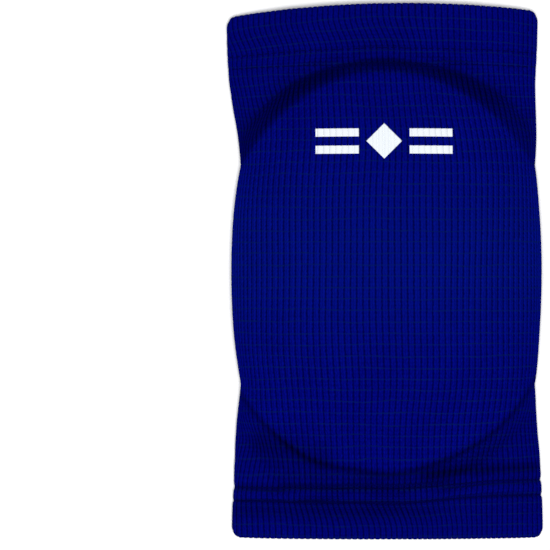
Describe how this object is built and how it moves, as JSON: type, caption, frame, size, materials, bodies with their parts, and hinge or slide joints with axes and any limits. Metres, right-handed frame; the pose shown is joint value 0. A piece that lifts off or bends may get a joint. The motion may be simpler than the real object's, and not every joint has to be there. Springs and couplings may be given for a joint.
{
  "type": "elbow pad",
  "caption": "Slip-on elbow pad: a rib-knit sleeve with turned elastic hems and an oval foam pad in a pocket over the elbow.",
  "frame": {"origin": "centre of the flat back face, on the surface that the pad rests on", "axes": "+Y along the sleeve towards the upper-arm end, +Z out of the padded front, +X across the arm"},
  "size_m": [0.1248, 0.214, 0.043],
  "materials": {
    "rib_knit": "matte",
    "lining_knit": "matte",
    "impact_foam": "matte",
    "comfort_foam": "matte",
    "elastic": "matte",
    "thread": "satin",
    "label": "satin",
    "print": "matte"
  },
  "bodies": {
    "upper_arm_half": {"outer_sleeve": "rib_knit", "pocket_lining": "lining_knit", "impact_foam": "impact_foam", "comfort_foam": "comfort_foam", "pocket_seam_thread": "thread", "front_emblem": "print", "upper_hem_elastic": "elastic", "upper_hem_outer_thread": "thread", "upper_hem_inner_thread": "thread", "upper_hem_looper_thread": "thread"},
    "forearm_half": {"lower_hem_elastic": "elastic", "lower_hem_outer_thread": "thread", "lower_hem_inner_thread": "thread", "lower_hem_looper_thread": "thread", "care_label": "label"}
  },
  "joints": [
    {"name": "elbow_flex", "type": "hinge", "parent": "upper_arm_half", "child": "forearm_half", "pos_m": [0, 0, 0.03], "axis": [1, 0, 0], "range_deg": [0, 90], "stiffness_Nm_per_rad": 0.5, "deforming": ["outer_sleeve", "pocket_lining", "impact_foam", "comfort_foam", "pocket_seam_thread", "front_emblem"]}
  ]
}
